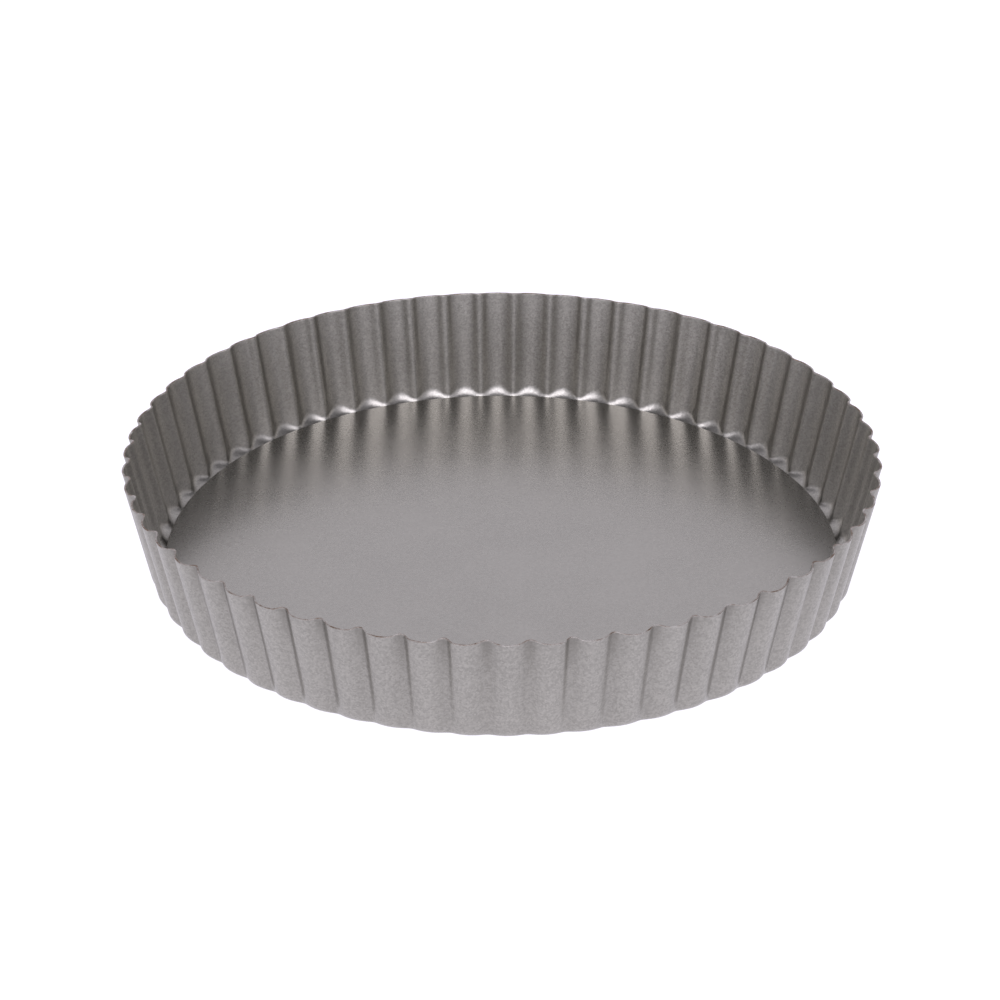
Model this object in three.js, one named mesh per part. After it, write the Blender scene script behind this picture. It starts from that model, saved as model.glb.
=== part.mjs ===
// A loose-bottomed fluted tart pan: a drawn sheet-steel ring with a flaring, fluted wall, and a loose flat
// base that lies on the raised ledge inside the ring's foot. Millimetres, +Z up. The origin is on the pan's
// axis, in the plane that the pan stands on. One flute crest points along each of -Y, +X, +Y and -X.

import * as THREE from "three";

// Ring: radii are to the outside of the sheet.
const panHeight = 39.9; // at the flute troughs, where the rim is highest
const rimDip = 0.75; // how much lower the rim is at the flute crests
const sheetThickness = 0.6;
const rimRadius = 125; // at full height, half way between flute crest and flute trough
const footRadius = 116.5; // the same line of the wall, carried straight down to the foot plane
const footOuterRadius = 112.4; // the pan stands on a flat ring: the foot corner's curve starts outside it
const footInnerRadius = 110.8; // and the ledge's slope starts inside it
const ledgeHoleRadius = 104.5;
const ledgeRise = 1.3; // from the foot up to the ledge's lip, which carries the base

// Flutes: wide round crests that meet in narrow troughs, which are the ridges inside the pan.
const fluteCount = 60;
const rimFluteDepth = 2.3; // crest to trough
const footFluteDepth = 2.1;
const troughSoftness = 0.25; // 0 would bring the crests together in a sharp edge

// Loose base
const baseRadius = 113.4;
const baseThickness = 0.9;
const baseEdgeBevel = 0.2;
const seatGap = 0.05; // between the ledge's lip and the base that lies on it

// Fineness of the faceted surfaces
const facetsPerFlute = 8;
const facetsPerCorner = 2;
const baseFacets = 120;

// Warm grey non-stick coating
const coating = { color: 0x8f8a8b, roughness: 0.38, metalness: 0.75 };

// How far out the wall is at this place round a flute: 0 in the trough, 1 on the crest.
function fluteRise(phase) {
  const rise = (cosine) => Math.hypot(cosine, troughSoftness);
  return (rise(Math.cos(phase / 2)) - rise(0)) / (rise(1) - rise(0));
}

const ledgeSlope = Math.atan2(ledgeRise, footInnerRadius - ledgeHoleRadius);
const lipTop = ledgeRise + sheetThickness / Math.cos(ledgeSlope);

// The ring's closed section at one place round a flute: from the ledge's lip out to the foot, up the
// outside to the rim and back down the inside. The corner's arc touches the foot plane and the wall.
function ringSection(flute) {
  const foot = footRadius + footFluteDepth * (flute - 0.5);
  const flare = Math.atan2(rimRadius + rimFluteDepth * (flute - 0.5) - foot, panHeight);
  const height = panHeight - rimDip * flute;
  const rim = foot + height * Math.tan(flare);
  const turn = Math.PI / 2 - flare;
  const cornerRadius = (foot - footOuterRadius) / Math.tan(turn / 2);

  const cornerArc = (radius) =>
    Array.from({ length: facetsPerCorner + 1 }, (_, step) => {
      const angle = (turn * step) / facetsPerCorner;
      const out = footOuterRadius + radius * Math.sin(angle);
      return new THREE.Vector2(out, cornerRadius - radius * Math.cos(angle));
    });

  return [
    new THREE.Vector2(ledgeHoleRadius, ledgeRise),
    new THREE.Vector2(footInnerRadius, 0),
    ...cornerArc(cornerRadius),
    new THREE.Vector2(rim, height),
    new THREE.Vector2(rim - sheetThickness / Math.cos(flare), height),
    ...cornerArc(cornerRadius - sheetThickness).reverse(),
    new THREE.Vector2(footInnerRadius + sheetThickness * Math.tan(ledgeSlope / 2), sheetThickness),
    new THREE.Vector2(ledgeHoleRadius, lipTop),
    new THREE.Vector2(ledgeHoleRadius, ledgeRise),
  ];
}

// The ring is turned round the axis as a plain lathe, and each turn then takes the section of its own place
// round the flute.
function flutedRingGeometry() {
  const turns = fluteCount * facetsPerFlute;
  const geometry = new THREE.LatheGeometry(ringSection(0), turns);
  const position = geometry.getAttribute("position");
  const sectionPoints = position.count / (turns + 1);
  for (let turn = 0; turn <= turns; turn++) {
    const angle = (turn / turns) * 2 * Math.PI;
    ringSection(fluteRise(angle * fluteCount)).forEach((point, row) => {
      const out = point.x;
      position.setXYZ(turn * sectionPoints + row, out * Math.sin(angle), point.y, out * Math.cos(angle));
    });
  }
  geometry.computeVertexNormals();
  return geometry;
}

// A flat disc with a small bevel round both edges.
function looseBaseGeometry() {
  const bevelled = baseRadius - baseEdgeBevel;
  const profile = [
    new THREE.Vector2(0, 0),
    new THREE.Vector2(bevelled, 0),
    new THREE.Vector2(baseRadius, baseEdgeBevel),
    new THREE.Vector2(baseRadius, baseThickness - baseEdgeBevel),
    new THREE.Vector2(bevelled, baseThickness),
    new THREE.Vector2(0, baseThickness),
  ];
  return new THREE.LatheGeometry(profile, baseFacets);
}

// A lathe turns about Y, so each piece is stood up to turn about Z.
function standingMesh(name, geometry) {
  const mesh = new THREE.Mesh(geometry.rotateX(Math.PI / 2), new THREE.MeshStandardMaterial(coating));
  mesh.name = name;
  return mesh;
}

const tartPan = new THREE.Group();

tartPan.add(standingMesh("fluted_ring", flutedRingGeometry()));

const looseBase = standingMesh("loose_base", looseBaseGeometry());
looseBase.position.z = lipTop + seatGap;
tartPan.add(looseBase);

export default tartPan;
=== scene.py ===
"""A loose-bottomed fluted tart pan: its ring and its loose base, in fine mesh with a coated finish.

Everything is in metres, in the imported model's own frame: +Z is up along the pan's axis, the pan stands
on z = 0, and one flute crest points along each of -Y, +X, +Y and -X.
"""

import math

import bmesh
import bpy
import numpy as np
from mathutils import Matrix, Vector


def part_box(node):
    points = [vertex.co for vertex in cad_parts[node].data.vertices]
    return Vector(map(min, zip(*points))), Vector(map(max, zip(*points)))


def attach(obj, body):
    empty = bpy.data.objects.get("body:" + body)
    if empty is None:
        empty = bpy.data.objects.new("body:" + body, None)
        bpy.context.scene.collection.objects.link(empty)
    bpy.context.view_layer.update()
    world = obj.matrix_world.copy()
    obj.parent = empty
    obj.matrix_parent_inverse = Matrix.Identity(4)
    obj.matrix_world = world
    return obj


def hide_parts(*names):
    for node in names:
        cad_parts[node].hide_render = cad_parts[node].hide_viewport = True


MM = 0.001

# Ring: radii are to the outside of the sheet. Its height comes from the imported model.
SHEET = 0.6 * MM
RIM_DIP = 0.75 * MM  # how much lower the rim is at the flute crests
RIM_RADIUS = 125 * MM  # at full height, half way between flute crest and flute trough
FOOT_RADIUS = 116.5 * MM  # the same line of the wall, carried straight down to the foot plane
FOOT_OUTER_RADIUS = 112.4 * MM  # of the flat ring that the pan stands on, where the foot corner starts
FOOT_INNER_RADIUS = 110.8 * MM  # where the ledge's slope starts
LEDGE_HOLE_RADIUS = 104.5 * MM
LEDGE_RISE = 1.3 * MM  # from the foot up to the ledge's lip, which carries the base
CUT_EDGE_EASE = 0.16 * MM
FOLD_EASE = 0.7 * MM

# Flutes: wide crests that meet in narrow troughs, which are the ridges inside the pan.
FLUTES = 60
RIM_FLUTE_DEPTH = 2.3 * MM  # crest to trough
FOOT_FLUTE_DEPTH = 2.1 * MM
RIM_TROUGH_SOFTNESS = 0.22  # 0 would bring the crests together in a sharp edge
FOOT_TROUGH_SOFTNESS = 0.3
RIM_SQUARENESS = (0.1, 0.6)  # least and most: how far a flute is squared off at the rim
SQUARE_STEEPNESS = 2.8  # of a squared flute's sides
TROUGH_NARROWNESS = 0.65  # of a squared flute: 0 would make trough and crest equally wide
TROUGH_SHIFT = 0.12  # as a phase: the furthest that a trough is to one side of its place

# The thin rim is a little out of round, in a few slow waves round the ring.
RIM_UNEVENNESS = 0.3 * MM
UNEVEN_WAVES = (2, 3, 5, 9, 17)  # times round the ring
UNEVEN_WAVE_SHARES = (0.4, 1)  # least and most, of the strongest wave

# Base: its radius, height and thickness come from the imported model.
BASE_EDGE_EASE = 0.25 * MM

# Fineness of the meshes
TURNS_PER_FLUTE = 24
TROUGH_CROWDING = 0.5  # how far the turns crowd into the troughs, where the wall bends most
BASE_TURNS = 480
CORNER_ROWS = 9
WALL_ROWS = 11
LEDGE_ROWS = 2
EASE_ROWS = 4
BASE_ROWS = 22

SAME_POINT = 0.0001 * MM  # points closer than this are joined

SEED = 11


# ---------------------------------------------------------------------------------------------- shapes


def flute_rise(phase, softness, squareness):
    """How far out the wall is round a flute: 0 in the trough, 1 on the crest."""
    soft = np.hypot(np.cos(phase / 2), softness)
    rounded = (soft - softness) / (math.hypot(1, softness) - softness)
    step = np.tanh(SQUARE_STEEPNESS * (TROUGH_NARROWNESS + np.cos(phase)))
    lowest = math.tanh(SQUARE_STEEPNESS * (TROUGH_NARROWNESS - 1))
    highest = math.tanh(SQUARE_STEEPNESS * (TROUGH_NARROWNESS + 1))
    squared = (step - lowest) / (highest - lowest)
    return rounded + squareness * (squared - rounded)


def shifted_to_troughs(phase):
    """The phases with each trough a little to one side of its place."""
    trough = (phase // (2 * math.pi)).astype(int)
    shift = np.random.default_rng(SEED).uniform(-TROUGH_SHIFT, TROUGH_SHIFT, FLUTES)[trough]
    return phase + shift * np.sin(phase / 2) ** 2


def flute_rises(phase):
    """The rise at the foot and at the rim, where each trough is pressed a little differently."""
    trough = (phase // (2 * math.pi)).astype(int)
    squareness = np.random.default_rng(SEED + 1).uniform(*RIM_SQUARENESS, FLUTES)[trough]
    shifted = shifted_to_troughs(phase)
    at_foot = flute_rise(shifted, FOOT_TROUGH_SOFTNESS, 0)
    return at_foot, flute_rise(shifted, RIM_TROUGH_SOFTNESS, squareness)


def flute_phases():
    """The places round the ring that the mesh has turns at, as phases that count up over all flutes."""
    even = np.arange(FLUTES * TURNS_PER_FLUTE) * 2 * math.pi / TURNS_PER_FLUTE
    return even + TROUGH_CROWDING * np.sin(even)


def unevenness(angle):
    """How far the thin rim is out of round, from 0 to 1, as a few slow waves round the ring."""
    rng = np.random.default_rng(SEED)
    waves = sum(
        rng.uniform(*UNEVEN_WAVE_SHARES) * np.sin(count * angle + rng.uniform(0, 2 * math.pi))
        for count in UNEVEN_WAVES
    )
    return (waves - waves.min()) / (waves.max() - waves.min())


def points(out, up):
    """A row of section points, one for each turn of the lathe, as an array of (out, up)."""
    return np.stack(np.broadcast_arrays(out, up), axis=-1)


def level_points(turns, out, up):
    """A row of section points that are the same at every turn."""
    return points(np.full(turns, float(out)), up)


def between(start, end, count):
    """Rows between two rows of points, without those two, closer together near each of them."""
    shares = (1 - np.cos(np.linspace(0, math.pi, count + 2)[1:-1])) / 2
    return [start + share * (end - start) for share in shares]


def eased_corner(before, corner, after, ease):
    """Rows that round a sharp corner off, from its side towards `before` to that towards `after`."""

    def towards(target):
        away = target - corner
        return corner + ease * away / np.linalg.norm(away, axis=-1, keepdims=True)

    start, end = towards(before), towards(after)
    return [
        (1 - share) ** 2 * start + 2 * share * (1 - share) * corner + share**2 * end
        for share in np.linspace(0, 1, EASE_ROWS)
    ]


def wall_line(phase, angle, full_height):
    """The outside of the wall at every turn: its radius at foot and rim, its height and its flare."""
    foot_rise, rim_rise = flute_rises(phase)
    foot = FOOT_RADIUS + FOOT_FLUTE_DEPTH * (foot_rise - 0.5)
    full_rim = RIM_RADIUS + RIM_FLUTE_DEPTH * (rim_rise - 0.5) - RIM_UNEVENNESS * unevenness(angle)
    flare = np.arctan2(full_rim - foot, full_height)
    height = full_height - RIM_DIP * rim_rise
    return foot, foot + height * np.tan(flare), height, flare


def corner_arc(foot, flare, inset):
    """Rows round the foot corner, from the foot plane to the wall, this far in from the outside."""
    turn = math.pi / 2 - flare
    outside_radius = (foot - FOOT_OUTER_RADIUS) / np.tan(turn / 2)
    radius = outside_radius - inset
    return [
        points(
            FOOT_OUTER_RADIUS + radius * np.sin(turn * share),
            outside_radius - radius * np.cos(turn * share),
        )
        for share in np.linspace(0, 1, CORNER_ROWS)
    ]


def ring_rows(phase, angle, full_height):
    """The ring's closed section at every turn, from the ledge's lip up the outside and down the inside.

    Also returns the numbers of the first and last row of the cut edge at the rim.
    """
    foot, rim, height, flare = wall_line(phase, angle, full_height)
    rim_outside = points(rim, height)
    rim_inside = points(rim - SHEET / np.cos(flare), height)
    outside_arc = corner_arc(foot, flare, 0)
    inside_arc = corner_arc(foot, flare, SHEET)

    slope = math.atan2(LEDGE_RISE, FOOT_INNER_RADIUS - LEDGE_HOLE_RADIUS)
    lip_under = level_points(len(phase), LEDGE_HOLE_RADIUS, LEDGE_RISE)
    lip_over = level_points(len(phase), LEDGE_HOLE_RADIUS, LEDGE_RISE + SHEET / math.cos(slope))
    fold_under = level_points(len(phase), FOOT_INNER_RADIUS, 0)
    fold_over = level_points(len(phase), FOOT_INNER_RADIUS + SHEET * math.tan(slope / 2), SHEET)

    rows = eased_corner(lip_over, lip_under, fold_under, CUT_EDGE_EASE)
    rows += between(rows[-1], fold_under, LEDGE_ROWS)
    rows += eased_corner(lip_under, fold_under, outside_arc[0], FOLD_EASE)
    rows += outside_arc
    rows += between(outside_arc[-1], rim_outside, WALL_ROWS)
    edge_start = len(rows)
    rows += eased_corner(outside_arc[-1], rim_outside, rim_inside, CUT_EDGE_EASE)
    rows += eased_corner(rim_outside, rim_inside, inside_arc[-1], CUT_EDGE_EASE)
    edge_end = len(rows) - 1
    rows += between(rim_inside, inside_arc[-1], WALL_ROWS)
    rows += inside_arc[::-1]
    rows += eased_corner(inside_arc[0], fold_over, lip_over, FOLD_EASE)
    over_end = eased_corner(fold_over, lip_over, lip_under, CUT_EDGE_EASE)
    rows += between(fold_over, over_end[0], LEDGE_ROWS)
    rows += over_end
    return rows, edge_start, edge_end


def base_rows(radius, low, high):
    """The base's section from its axis underneath, round its edge and back to its axis on top."""
    under_axis = level_points(BASE_TURNS, 0, low)
    over_axis = level_points(BASE_TURNS, 0, high)
    under_edge = level_points(BASE_TURNS, radius, low)
    over_edge = level_points(BASE_TURNS, radius, high)
    under_corner = eased_corner(under_axis, under_edge, over_edge, BASE_EDGE_EASE)
    over_corner = eased_corner(under_edge, over_edge, over_axis, BASE_EDGE_EASE)
    rows = [under_axis] + between(under_axis, under_corner[0], BASE_ROWS) + under_corner
    return rows + over_corner + between(over_corner[-1], over_axis, BASE_ROWS) + [over_axis]


def turned_mesh(name, rows, angle, closed):
    """A smooth mesh with each section point at the angle of its own turn, from -Y towards +X."""
    section = np.stack(rows)
    count, turns = section.shape[:2]
    out, up = section[..., 0], section[..., 1]
    vertices = np.stack([out * np.sin(angle), -out * np.cos(angle), up], axis=-1)

    last = count if closed else count - 1
    row, turn = np.meshgrid(np.arange(last), np.arange(turns), indexing="ij")
    next_row = (row + 1) % count
    next_turn = (turn + 1) % turns
    corners = [
        row * turns + turn,
        row * turns + next_turn,
        next_row * turns + next_turn,
        next_row * turns + turn,
    ]
    faces = np.stack(corners, axis=-1).reshape(-1, 4)

    mesh = bpy.data.meshes.new(name)
    mesh.from_pydata(vertices.reshape(-1, 3).tolist(), [], faces.tolist())
    mesh.shade_smooth()
    piece = bpy.data.objects.new(name, mesh)
    bpy.context.scene.collection.objects.link(piece)
    return piece


def close_axis(piece):
    """Joins the points that lie together on the axis, top and bottom, into one each."""
    shape = bmesh.new()
    shape.from_mesh(piece.data)
    bmesh.ops.remove_doubles(shape, verts=shape.verts, dist=SAME_POINT)
    bmesh.ops.dissolve_degenerate(shape, edges=shape.edges, dist=SAME_POINT)
    shape.to_mesh(piece.data)
    shape.free()
    piece.data.shade_smooth()


def mark_painted_shade(ring, rows, phase, edge_start):
    """Notes how much shade is painted into the coating at each point: in the outside's hollows, more so
    towards the rim, and on the flanks of the ridges inside the wall."""
    up = np.stack(rows)[..., 1]
    height_share = up / up.max()
    up_outside = HOLLOW_SHADE_AT_FOOT + (1 - HOLLOW_SHADE_AT_FOOT) * height_share
    up_inside = np.clip((height_share - FLANK_START) / FLANK_START, 0, 1)
    hollow = np.sin(shifted_to_troughs(phase) / 2) ** 2
    rim_rise = flute_rises(phase)[1]
    flank = (4 * rim_rise * (1 - rim_rise)) ** 2  # 1 half way out, and 0 in the trough and on the crest
    outside = np.arange(len(rows))[:, np.newaxis] <= edge_start
    shaded = np.where(outside, hollow * up_outside, FLANK_SHADE * flank * up_inside)
    noted = ring.data.attributes.new(SHADED, "FLOAT", "POINT")
    noted.data.foreach_set("value", shaded.ravel())


def build_ring():
    """The ring of flutes: one closed sheet with a coated surface and a bare cut edge."""
    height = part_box("fluted_ring")[1].z
    phase = flute_phases()
    angle = phase / FLUTES
    rows, edge_start, edge_end = ring_rows(phase, angle, height)
    ring = turned_mesh("ring_of_flutes", rows, angle, closed=True)
    # painted shade: in the outside's hollows and on the flanks of the ridges inside
    mark_painted_shade(ring, rows, phase, edge_start)
    finish = (RING_SATIN, RING_SPECKLE, RING_FLAKE_TILT, RING_PEEL_DEPTH)
    ring.data.materials.append(coating_material("ring_coat", *finish, height))
    ring.data.materials.append(cut_edge_material())
    face_row = np.arange(len(ring.data.polygons)) // len(angle)
    cut = (face_row >= edge_start) & (face_row < edge_end)
    ring.data.polygons.foreach_set("material_index", cut.astype(np.int32))
    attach(ring, "ring")
    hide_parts("fluted_ring")


def build_base():
    """The loose base: a flat disc with eased edges."""
    low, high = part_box("loose_base")
    angle = np.arange(BASE_TURNS) * 2 * math.pi / BASE_TURNS
    base = turned_mesh("base_disc", base_rows(high.x, low.z, high.z), angle, closed=False)
    close_axis(base)
    finish = (BASE_SATIN, BASE_SPECKLE, BASE_FLAKE_TILT, BASE_PEEL_DEPTH)
    base.data.materials.append(coating_material("base_coat", *finish))
    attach(base, "base")
    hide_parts("loose_base")


# ------------------------------------------------------------------------------------------- materials

COAT_LIGHT = (0.484, 0.470, 0.433, 1)
COAT_DARK = (0.323, 0.314, 0.289, 1)
COAT_WORN = (0.45, 0.42, 0.39, 1)
# the colour of the painted shade in the hollows, creases and ridge flanks
COAT_PAINTED_SHADE = (0.20, 0.19, 0.17, 1)
EDGE_STEEL = (0.56, 0.54, 0.51, 1)
EDGE_RUST = (0.21, 0.15, 0.11, 1)

# Painted shade: how far the coating's colour is darkened in the hollows and on the flanks of the ridges
SHADED = "shaded"  # the mesh's attribute, which holds the painted shade
HOLLOW_SHADE_AT_FOOT = 0.4  # beside 1 at the rim
FLANK_SHADE = 0.75  # beside 1 in the hollows
FLANK_START = 0.15  # as a share of the ring's height: full at twice this
PAINTED_SHADE_SHARE = 0.3  # of the painted shade colour, where the attribute is 1
CREASE = (0.76, 0.98)  # the attribute's values from the edge of a crease to its middle
CREASE_SHADE_SHARE = 0.35  # of the painted shade colour, on top, in the middle of a crease

# The coating: its gloss, how much its flakes differ in colour, how far they lean, and its orange peel
RING_SATIN = 0.33
RING_SPECKLE = 0.75
RING_FLAKE_TILT = 0.04
RING_PEEL_DEPTH = 0.004 * MM
BASE_SATIN = 0.28
BASE_SPECKLE = 0.28
BASE_FLAKE_TILT = 0.006
BASE_PEEL_DEPTH = 0.001 * MM
FLAKE = 0.55 * MM
PEEL = 0.9 * MM
CLOUD = 30 * MM
CLOUD_DETAIL = 4.0
CLOUD_TONE = 0.1
SATIN_CHANGE = 0.02  # of the gloss, up and down, over the clouds and again over the orange peel
WORN_BAND = 0.8 * MM
WORN_PATCHES = (0.42, 0.6)  # the noise's values from whole coating to worn through

# The cut edge
STAIN = 4 * MM
STAIN_DETAIL = 5.0
STAIN_RAGGEDNESS = 0.7
STAIN_PATCHES = (0.38, 0.62)  # the noise's values from brown to bare steel
EDGE_GRAIN = 0.3 * MM
EDGE_GRAIN_DEPTH = 0.03 * MM
EDGE_ROUGHNESS = (0.35, 0.6)

MOST_OF_NOISE = (0.3, 0.7)  # the values that a noise texture mostly keeps between


def new_tree(name):
    material = bpy.data.materials.new(name)
    material.use_nodes = True
    material.node_tree.nodes.clear()
    return material, material.node_tree


def node(tree, kind, inputs, **settings):
    """A new node. Each input is a plain value, or a socket of another node to link from."""
    made = tree.nodes.new(kind)
    for name, value in settings.items():
        setattr(made, name, value)
    for name, value in inputs.items():
        if isinstance(value, bpy.types.NodeSocket):
            tree.links.new(value, made.inputs[name])
        else:
            made.inputs[name].default_value = value
    return made


def place_on_piece(tree):
    return node(tree, "ShaderNodeTexCoord", {}).outputs["Object"]


def noise(tree, place, size, detail=2.0, raggedness=0.5):
    inputs = {"Vector": place, "Scale": 1 / size, "Detail": detail, "Roughness": raggedness}
    return node(tree, "ShaderNodeTexNoise", inputs).outputs["Fac"]


def cells(tree, place, size):
    return node(tree, "ShaderNodeTexVoronoi", {"Vector": place, "Scale": 1 / size}).outputs["Color"]


def spread(tree, value, low, high, to_low, to_high):
    """Maps the values from low to high onto to_low to to_high, and holds them there outside."""
    inputs = {"Value": value, "From Min": low, "From Max": high, "To Min": to_low, "To Max": to_high}
    return node(tree, "ShaderNodeMapRange", inputs).outputs["Result"]


def blend_colours(tree, share, first, second):
    inputs = {"Fac": share, "Color1": first, "Color2": second}
    return node(tree, "ShaderNodeMixRGB", inputs).outputs["Color"]


def arithmetic(tree, operation, first, second):
    return node(tree, "ShaderNodeMath", {0: first, 1: second}, operation=operation).outputs["Value"]


def vector_maths(tree, operation, inputs):
    return node(tree, "ShaderNodeVectorMath", inputs, operation=operation).outputs["Vector"]


def flake_normal(tree, flakes, tilt):
    """The surface's normal, leaned a little to a different side on each metal flake."""
    lean = vector_maths(tree, "SUBTRACT", {0: flakes, 1: (0.5, 0.5, 0.5)})
    small_lean = vector_maths(tree, "SCALE", {0: lean, "Scale": tilt})
    upright = node(tree, "ShaderNodeNewGeometry", {}).outputs["Normal"]
    leaned = vector_maths(tree, "ADD", {0: upright, 1: small_lean})
    return vector_maths(tree, "NORMALIZE", {0: leaned})


def finish_material(tree, colour, roughness, normal):
    inputs = {"Base Color": colour, "Metallic": 1.0, "Roughness": roughness, "Normal": normal}
    surface = node(tree, "ShaderNodeBsdfPrincipled", inputs)
    node(tree, "ShaderNodeOutputMaterial", {"Surface": surface.outputs["BSDF"]})


def paint_shade(tree, colour):
    """Paints shade into the colour by the mesh's attribute, and more again in the creases where that is
    highest.
    """
    shaded = node(tree, "ShaderNodeAttribute", {}, attribute_name=SHADED).outputs["Fac"]
    widely = arithmetic(tree, "MULTIPLY", shaded, PAINTED_SHADE_SHARE)
    dark = arithmetic(tree, "ADD", widely, spread(tree, shaded, *CREASE, 0.0, CREASE_SHADE_SHARE))
    return blend_colours(tree, dark, colour, COAT_PAINTED_SHADE)


def wear_rim(tree, colour, place, peel, height):
    """Wears the coating thin in patches, in a narrow band up to the given height."""
    up = node(tree, "ShaderNodeSeparateXYZ", {"Vector": place}).outputs["Z"]
    near_rim = spread(tree, up, height - WORN_BAND, height, 0.0, 1.0)
    worn = arithmetic(tree, "MULTIPLY", near_rim, spread(tree, peel, *WORN_PATCHES, 0.0, 1.0))
    return blend_colours(tree, worn, colour, COAT_WORN)


def coating_material(name, satin, speckle, tilt, peel_depth, height=None):
    """Satin metal-flake non-stick coating. The ring's, with its height, also gets painted shade and is
    worn.
    """
    material, tree = new_tree(name)
    place = place_on_piece(tree)
    flakes = cells(tree, place, FLAKE)
    flake_share = node(tree, "ShaderNodeSeparateColor", {"Color": flakes}).outputs["Red"]
    clouds = noise(tree, place, CLOUD, CLOUD_DETAIL)
    peel = noise(tree, place, PEEL)

    flake_tone = spread(tree, flake_share, 0.0, 1.0, 0.5 - speckle / 2, 0.5 + speckle / 2)
    cloud_tone = spread(tree, clouds, *MOST_OF_NOISE, -CLOUD_TONE, CLOUD_TONE)
    tone = arithmetic(tree, "ADD", flake_tone, cloud_tone)
    colour = blend_colours(tree, tone, COAT_DARK, COAT_LIGHT)
    if height is not None:
        # painted shade in the hollows and on the ridges' flanks, then wear at the rim
        colour = wear_rim(tree, paint_shade(tree, colour), place, peel, height)

    evenly = spread(tree, clouds, *MOST_OF_NOISE, satin - SATIN_CHANGE, satin + SATIN_CHANGE)
    finely = spread(tree, peel, *MOST_OF_NOISE, -SATIN_CHANGE, SATIN_CHANGE)
    roughness = arithmetic(tree, "ADD", evenly, finely)
    inputs = {"Height": peel, "Distance": peel_depth, "Normal": flake_normal(tree, flakes, tilt)}
    normal = node(tree, "ShaderNodeBump", inputs).outputs["Normal"]
    finish_material(tree, colour, roughness, normal)
    return material


def cut_edge_material():
    """The bare sheared edge of the steel at the rim: dull, streaked and a little brown."""
    material, tree = new_tree("cut_edge")
    place = place_on_piece(tree)
    stain = noise(tree, place, STAIN, STAIN_DETAIL, STAIN_RAGGEDNESS)
    grain = noise(tree, place, EDGE_GRAIN)
    bare = spread(tree, stain, *STAIN_PATCHES, 0.0, 1.0)
    colour = blend_colours(tree, bare, EDGE_RUST, EDGE_STEEL)
    roughness = spread(tree, grain, *MOST_OF_NOISE, *EDGE_ROUGHNESS)
    inputs = {"Height": grain, "Distance": EDGE_GRAIN_DEPTH}
    finish_material(tree, colour, roughness, node(tree, "ShaderNodeBump", inputs).outputs["Normal"])
    return material


# ---------------------------------------------------------------------------------------------- studio

SOFT_WHITE = (1.027, 1.0, 1.10)  # the colour of all the light

# The surroundings: brightness by direction, as parts of the direction's unit vector
FRONT_GLOW = 0.96
BACK_GLOW = 0.83
FRONT_TO_BACK = (-0.3, 0.3)
LEFT_GAIN = 1.05  # the light is a little stronger on the left than on the right
RIGHT_GAIN = 0.93
LEFT_TO_RIGHT = (-0.6, 0.6)
SIDE_SHADE = 0.2  # of the open sides between the white ends, above the low screens
SIDE_TO_END = (0.2, 0.6)
SCREEN_TOP = (0.25, 0.45)
CEILING_START = (0.8, 0.92)
CEILING_GLOW = 0.5  # of what is below it

# The floor
FLOOR_RADIUS = 6.0
FLOOR_SIDES = 96
FLOOR_GLOW = 0.84
FAR_FLOOR_GLOW = 0.5
FLOOR_FALLOFF = (0.15, 0.4)  # the distances from the pan's axis that the glow falls off between
FLOOR_ALBEDO = 0.1
FLOOR_ROUGHNESS = 0.9
PAPER_GRAIN = 2 * MM
PAPER_GRAIN_TONE = 0.03

CAMERA_DISTANCE = 1.0255
CAMERA_ELEVATION = math.radians(28.49)
CAMERA_TURN = math.radians(-0.845)  # from straight in front of the -Y crest, towards +X
CAMERA_AIM_HEIGHT = 20.24 * MM
CAMERA_AIM_ASIDE = -0.63 * MM  # to the camera's right
CAMERA_LENS = 109.94  # this and the sensor's width are in millimetres
SENSOR = 36.0

KEY_ELEVATION = math.radians(43)
KEY_DISTANCE = 1.3
KEY_SIZE = (1.5, 0.9)
KEY_POWER = 8.5  # watts


def point_from(target, distance, elevation, turn):
    """The place this far from the target, this high above the horizon and turned from -Y to +X."""
    level = math.cos(elevation)
    towards = Vector((math.sin(turn) * level, -math.cos(turn) * level, math.sin(elevation)))
    return target + distance * towards


def aim(thing, target):
    thing.rotation_euler = (target - thing.location).to_track_quat("-Z", "Y").to_euler()


def or_seen(tree, glow):
    """The glow that the pan reflects, or white where the view meets it directly."""
    seen = node(tree, "ShaderNodeLightPath", {}).outputs["Is Camera Ray"]
    return arithmetic(tree, "MAXIMUM", seen, glow)


def build_surround():
    """White ends in front and behind, low white screens all round and a dark ceiling, seen as white."""
    world = bpy.data.worlds.new("studio")
    world.use_nodes = True
    tree = world.node_tree
    direction = node(tree, "ShaderNodeTexCoord", {}).outputs["Generated"]
    towards = node(tree, "ShaderNodeSeparateXYZ", {"Vector": direction}).outputs
    ends = spread(tree, towards["Y"], *FRONT_TO_BACK, FRONT_GLOW, BACK_GLOW)
    lengthways = arithmetic(tree, "ABSOLUTE", towards["Y"], 0.0)
    beside_end = spread(tree, lengthways, *SIDE_TO_END, SIDE_SHADE, 1.0)
    screen = spread(tree, towards["Z"], *SCREEN_TOP, 1.0, SIDE_SHADE)
    around = arithmetic(tree, "MULTIPLY", ends, arithmetic(tree, "MAXIMUM", beside_end, screen))
    left_to_right = spread(tree, towards["X"], *LEFT_TO_RIGHT, LEFT_GAIN, RIGHT_GAIN)
    lopsided = arithmetic(tree, "MULTIPLY", around, left_to_right)
    ceiling = spread(tree, towards["Z"], *CEILING_START, 1.0, CEILING_GLOW)
    lit = arithmetic(tree, "MULTIPLY", lopsided, ceiling)
    background = tree.nodes["Background"]
    background.inputs["Color"].default_value = (*SOFT_WHITE, 1)
    tree.links.new(or_seen(tree, lit), background.inputs["Strength"])
    bpy.context.scene.world = world


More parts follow.
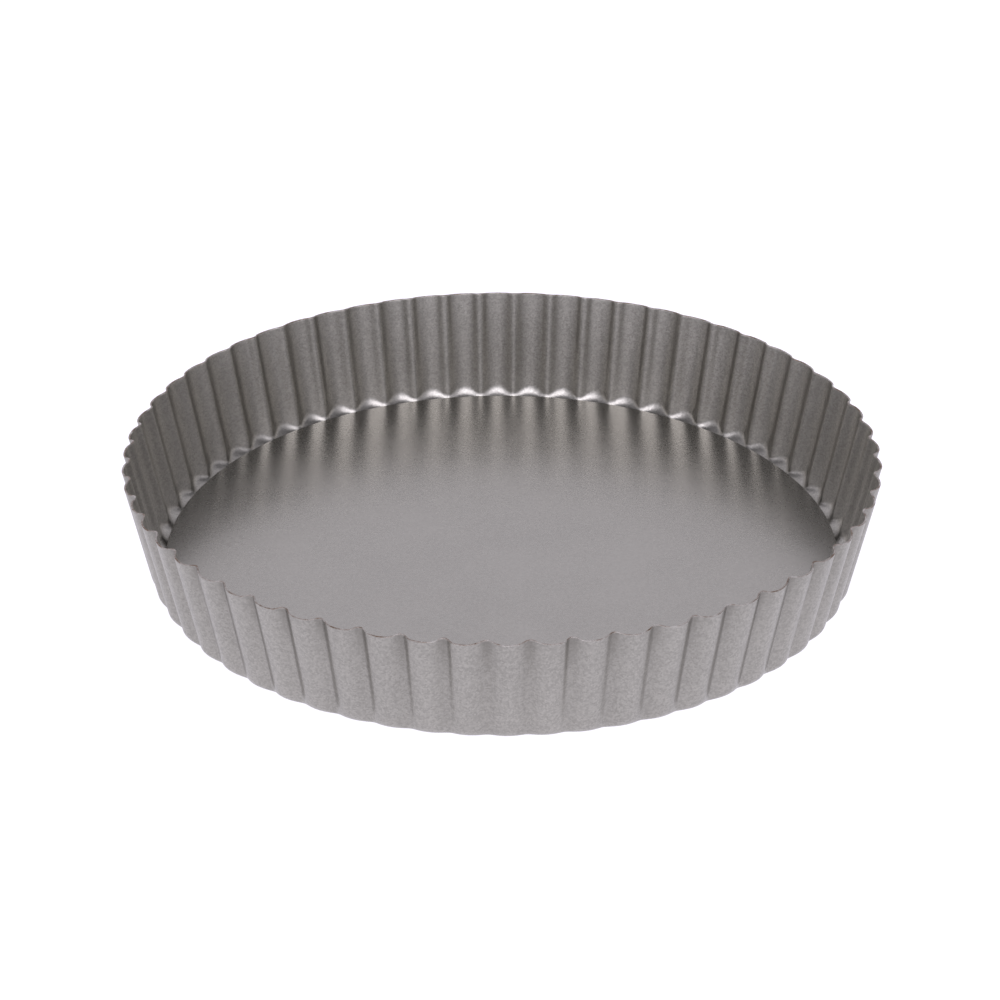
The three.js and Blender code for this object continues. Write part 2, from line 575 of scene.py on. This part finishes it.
def floor_material():
    """Pale paper with a fine grain, which glows less further from the pan and is seen as white."""
    material, tree = new_tree("floor_paper")
    place = place_on_piece(tree)
    darker = (1 - PAPER_GRAIN_TONE) * FLOOR_ALBEDO
    lighter = (1 + PAPER_GRAIN_TONE) * FLOOR_ALBEDO
    grain = noise(tree, place, PAPER_GRAIN)
    colour = blend_colours(tree, grain, (darker,) * 3 + (1,), (lighter,) * 3 + (1,))
    from_axis = node(tree, "ShaderNodeVectorMath", {0: place}, operation="LENGTH").outputs["Value"]
    glow = spread(tree, from_axis, *FLOOR_FALLOFF, FLOOR_GLOW, FAR_FLOOR_GLOW)
    inputs = {
        "Base Color": colour,
        "Roughness": FLOOR_ROUGHNESS,
        "Specular IOR Level": 0.0,
        "Emission Color": (*SOFT_WHITE, 1),
        "Emission Strength": or_seen(tree, glow),
    }
    surface = node(tree, "ShaderNodeBsdfPrincipled", inputs)
    node(tree, "ShaderNodeOutputMaterial", {"Surface": surface.outputs["BSDF"]})
    return material


def build_floor():
    mesh = bpy.data.meshes.new("floor")
    around = [2 * math.pi * side / FLOOR_SIDES for side in range(FLOOR_SIDES)]
    ring = [(FLOOR_RADIUS * math.cos(a), FLOOR_RADIUS * math.sin(a), 0) for a in around]
    mesh.from_pydata(ring, [], [list(range(FLOOR_SIDES))])
    mesh.materials.append(floor_material())
    floor = bpy.data.objects.new("floor", mesh)
    bpy.context.scene.collection.objects.link(floor)


def build_key_softbox(target):
    """One large soft light, straight in front of the pan and above it."""
    light = bpy.data.lights.new("key_softbox", "AREA")
    light.shape = "RECTANGLE"
    light.size, light.size_y = KEY_SIZE
    light.energy = KEY_POWER
    light.color = SOFT_WHITE
    softbox = bpy.data.objects.new("key_softbox", light)
    softbox.location = point_from(target, KEY_DISTANCE, KEY_ELEVATION, turn=0)
    softbox.visible_camera = False
    aim(softbox, target)
    bpy.context.scene.collection.objects.link(softbox)


def build_camera():
    """The camera, a little above the pan's front, with a long lens."""
    axis_point = Vector((0, 0, CAMERA_AIM_HEIGHT))
    right = Vector((math.cos(CAMERA_TURN), math.sin(CAMERA_TURN), 0))
    data = bpy.data.cameras.new("camera")
    data.sensor_width = SENSOR
    data.lens = CAMERA_LENS
    camera = bpy.data.objects.new("camera", data)
    camera.location = point_from(axis_point, CAMERA_DISTANCE, CAMERA_ELEVATION, CAMERA_TURN)
    aim(camera, axis_point + CAMERA_AIM_ASIDE * right)
    bpy.context.scene.collection.objects.link(camera)
    bpy.context.scene.camera = camera


def build_studio(middle):
    build_surround()
    build_floor()
    build_key_softbox(middle)
    build_camera()
    bpy.context.scene.view_settings.view_transform = "Standard"


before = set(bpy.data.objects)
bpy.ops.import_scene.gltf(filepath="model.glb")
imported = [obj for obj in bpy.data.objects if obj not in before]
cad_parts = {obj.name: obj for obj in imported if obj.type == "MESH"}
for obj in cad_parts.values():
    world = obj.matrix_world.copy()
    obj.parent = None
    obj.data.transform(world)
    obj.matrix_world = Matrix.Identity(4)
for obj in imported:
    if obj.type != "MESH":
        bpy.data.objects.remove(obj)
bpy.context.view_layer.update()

build_ring()
build_base()
low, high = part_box("fluted_ring")
build_studio((low + high) / 2)
